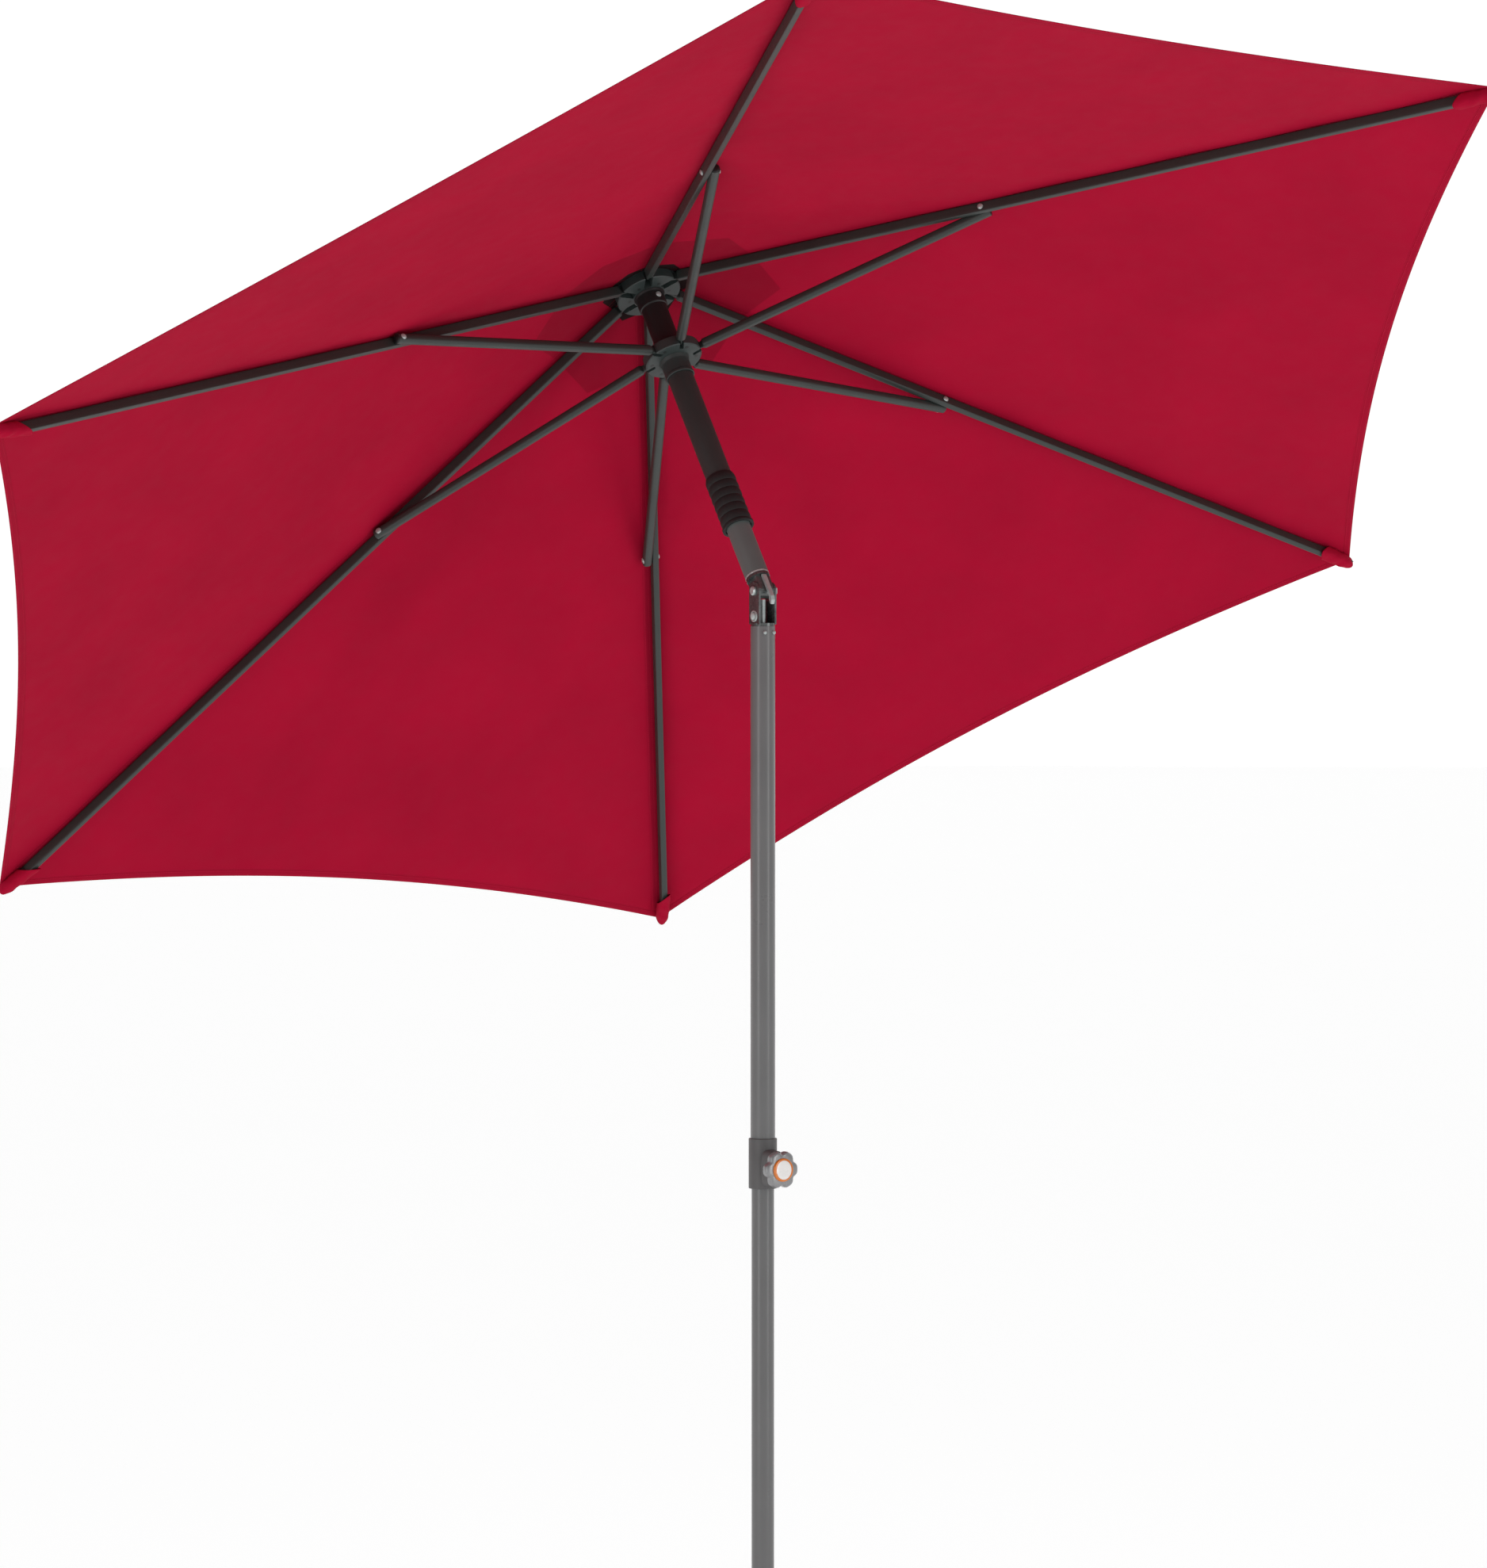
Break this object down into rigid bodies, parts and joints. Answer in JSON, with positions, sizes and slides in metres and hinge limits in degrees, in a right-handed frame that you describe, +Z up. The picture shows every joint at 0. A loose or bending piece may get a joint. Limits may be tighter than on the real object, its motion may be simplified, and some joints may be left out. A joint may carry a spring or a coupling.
{
  "type": "patio umbrella with base",
  "caption": "Tilting push-up garden umbrella with a hexagonal cloth canopy on folding ribs, a two-part pole with a star-knob clamp and a round slab base with a clamping tube.",
  "frame": {"origin": "centre of the slab's underside, on the floor, on the axis of the lower pole", "axes": "+Z up along the poles; +X along the tilt pin; the canopy leans towards +Y at rest; clamp knobs face -Y"},
  "size_m": [2.4666, 1.8792, 2.6139],
  "materials": {
    "plated_steel": "bright zinc plate",
    "black_plastic": "moulded, fine grain",
    "concrete": "cast, matt",
    "anthracite_paint": "fine textured powder coat",
    "red_fabric": "woven polyester",
    "collar_plastic": "moulded, fine grain",
    "silver_plastic": "silver lacquer",
    "cap_plastic": "plain two-tone disc",
    "anthracite_plastic": "moulded, fine grain",
    "grey_paint": "satin powder coat"
  },
  "bodies": {
    "base": {"base_slab": "concrete", "base_tube": "anthracite_paint", "base_bolt_1": "plated_steel", "base_bolt_2": "plated_steel", "base_bolt_3": "plated_steel", "base_bush": "black_plastic"},
    "base_screw": {"base_knob": "black_plastic"},
    "lower_mast": {"lower_pole": "grey_paint", "lower_pole_plug": "black_plastic"},
    "upper_mast": {"upper_pole": "grey_paint", "clamp_collar": "collar_plastic", "tilt_fork": "plated_steel", "tilt_pin": "plated_steel", "tilt_nut": "plated_steel", "tilt_post": "plated_steel", "pole_rivet_left": "plated_steel", "pole_rivet_right": "plated_steel"},
    "clamp_screw": {"clamp_knob": "silver_plastic", "clamp_knob_cap": "cap_plastic"},
    "button": {"tilt_button": "black_plastic"},
    "head": {"mast": "grey_paint", "tilt_tongue": "plated_steel", "crown_hub": "anthracite_plastic", "crown_neck": "black_plastic", "crown_screw": "plated_steel", "finial": "black_plastic"},
    "catch": {"tilt_catch": "plated_steel"},
    "runner": {"runner_hub": "anthracite_plastic", "runner_sleeve": "anthracite_plastic", "runner_grip": "black_plastic"},
    "rib_set_1": {"rib_1": "anthracite_paint", "rib_rivet_1": "plated_steel", "rib_tip_1": "black_plastic", "canopy_panel_1": "red_fabric"},
    "strut_set_1": {"strut_1": "anthracite_paint"},
    "rib_set_2": {"rib_2": "anthracite_paint", "rib_rivet_2": "plated_steel", "rib_tip_2": "black_plastic", "canopy_panel_2": "red_fabric"},
    "strut_set_2": {"strut_2": "anthracite_paint"},
    "rib_set_3": {"rib_3": "anthracite_paint", "rib_rivet_3": "plated_steel", "rib_tip_3": "black_plastic", "canopy_panel_3": "red_fabric"},
    "strut_set_3": {"strut_3": "anthracite_paint"},
    "rib_set_4": {"rib_4": "anthracite_paint", "rib_rivet_4": "plated_steel", "rib_tip_4": "black_plastic", "canopy_panel_4": "red_fabric"},
    "strut_set_4": {"strut_4": "anthracite_paint"},
    "rib_set_5": {"rib_5": "anthracite_paint", "rib_rivet_5": "plated_steel", "rib_tip_5": "black_plastic", "canopy_panel_5": "red_fabric"},
    "strut_set_5": {"strut_5": "anthracite_paint"},
    "rib_set_6": {"rib_6": "anthracite_paint", "rib_rivet_6": "plated_steel", "rib_tip_6": "black_plastic", "canopy_panel_6": "red_fabric"},
    "strut_set_6": {"strut_6": "anthracite_paint"}
  },
  "joints": [
    {"name": "base_knob_turn", "type": "hinge", "parent": "base", "child": "base_screw", "pos_m": [0, -0.042, 0.345], "axis": [0, -1, 0], "continuous": true},
    {"name": "pole_turn", "type": "hinge", "parent": "base", "child": "lower_mast", "pos_m": [0, 0, 0.4], "axis": [0, 0, 1], "continuous": true},
    {"name": "mast_height", "type": "slide", "parent": "lower_mast", "child": "upper_mast", "axis": [0, 0, 1], "range_m": [-0.336, 0.2]},
    {"name": "clamp_knob_turn", "type": "hinge", "parent": "upper_mast", "child": "clamp_screw", "pos_m": [0, -0.044, 1.0115], "axis": [0, -1, 0], "continuous": true},
    {"name": "tilt_button_push", "type": "slide", "parent": "upper_mast", "child": "button", "axis": [1, 0, 0], "range_m": [0, 0.0035], "stiffness_N_per_m": 400},
    {"name": "canopy_tilt", "type": "hinge", "parent": "upper_mast", "child": "head", "pos_m": [0, 0, 1.83], "axis": [-1, 0, 0], "range_deg": [-34.8, 0]},
    {"name": "catch_swing", "type": "hinge", "parent": "head", "child": "catch", "pos_m": [0, -0.00249, 1.85182], "axis": [-1, 0, 0], "range_deg": [0, 20], "stiffness_Nm_per_rad": 0.02},
    {"name": "runner_slide", "type": "slide", "parent": "head", "child": "runner", "axis": [0, 0.5707, 0.8211], "range_m": [-0.08, 0]},
    {"name": "rib_fold_1", "type": "hinge", "parent": "head", "child": "rib_set_1", "pos_m": [0.03972, 0.30751, 2.26415], "axis": [-0.1184, 0.8154, -0.5667], "range_deg": [-0.05, 64.45], "deforming": ["canopy_panel_1"]},
    {"name": "strut_fold_1", "type": "hinge", "parent": "runner", "child": "strut_set_1", "pos_m": [0.03575, 0.23978, 2.16752], "axis": [-0.1184, 0.8154, -0.5667], "range_deg": [-0.05, 75.09]},
    {"name": "rib_fold_2", "type": "hinge", "parent": "head", "child": "rib_set_2", "pos_m": [0.01576, 0.33381, 2.24587], "axis": [-0.9191, 0.3235, -0.2248], "range_deg": [-0.05, 64.45], "deforming": ["canopy_panel_2"]},
    {"name": "strut_fold_2", "type": "hinge", "parent": "runner", "child": "strut_set_2", "pos_m": [0.01418, 0.26345, 2.15107], "axis": [-0.9191, 0.3235, -0.2248], "range_deg": [-0.05, 75.09]},
    {"name": "rib_fold_3", "type": "hinge", "parent": "head", "child": "rib_set_3", "pos_m": [-0.02396, 0.32992, 2.24857], "axis": [-0.8007, -0.4919, 0.3419], "range_deg": [-0.05, 64.45], "deforming": ["canopy_panel_3"]},
    {"name": "strut_fold_3", "type": "hinge", "parent": "runner", "child": "strut_set_3", "pos_m": [-0.02157, 0.25995, 2.1535], "axis": [-0.8007, -0.4919, 0.3419], "range_deg": [-0.05, 75.09]},
    {"name": "rib_fold_4", "type": "hinge", "parent": "head", "child": "rib_set_4", "pos_m": [-0.03972, 0.29973, 2.26955], "axis": [0.1184, -0.8154, 0.5667], "range_deg": [-0.05, 64.45], "deforming": ["canopy_panel_4"]},
    {"name": "strut_fold_4", "type": "hinge", "parent": "runner", "child": "strut_set_4", "pos_m": [-0.03575, 0.23278, 2.17239], "axis": [0.1184, -0.8154, 0.5667], "range_deg": [-0.05, 75.09]},
    {"name": "rib_fold_5", "type": "hinge", "parent": "head", "child": "rib_set_5", "pos_m": [-0.01576, 0.27343, 2.28783], "axis": [0.9191, -0.3235, 0.2248], "range_deg": [-0.05, 64.45], "deforming": ["canopy_panel_5"]},
    {"name": "strut_fold_5", "type": "hinge", "parent": "runner", "child": "strut_set_5", "pos_m": [-0.01418, 0.20911, 2.18884], "axis": [0.9191, -0.3235, 0.2248], "range_deg": [-0.05, 75.09]},
    {"name": "rib_fold_6", "type": "hinge", "parent": "head", "child": "rib_set_6", "pos_m": [0.02396, 0.27732, 2.28513], "axis": [0.8007, 0.4919, -0.3419], "range_deg": [-0.05, 64.45], "deforming": ["canopy_panel_6"]},
    {"name": "strut_fold_6", "type": "hinge", "parent": "runner", "child": "strut_set_6", "pos_m": [0.02157, 0.2126, 2.18641], "axis": [0.8007, 0.4919, -0.3419], "range_deg": [-0.05, 75.09]}
  ],
  "couplings": [
    {"joint": "rib_fold_1", "follows": "runner_slide", "rad_per_m": -14.05},
    {"joint": "strut_fold_1", "follows": "runner_slide", "rad_per_m": -16.371},
    {"joint": "rib_fold_2", "follows": "runner_slide", "rad_per_m": -14.05},
    {"joint": "strut_fold_2", "follows": "runner_slide", "rad_per_m": -16.371},
    {"joint": "rib_fold_3", "follows": "runner_slide", "rad_per_m": -14.05},
    {"joint": "strut_fold_3", "follows": "runner_slide", "rad_per_m": -16.371},
    {"joint": "rib_fold_4", "follows": "runner_slide", "rad_per_m": -14.05},
    {"joint": "strut_fold_4", "follows": "runner_slide", "rad_per_m": -16.371},
    {"joint": "rib_fold_5", "follows": "runner_slide", "rad_per_m": -14.05},
    {"joint": "strut_fold_5", "follows": "runner_slide", "rad_per_m": -16.371},
    {"joint": "rib_fold_6", "follows": "runner_slide", "rad_per_m": -14.05},
    {"joint": "strut_fold_6", "follows": "runner_slide", "rad_per_m": -16.371}
  ]
}
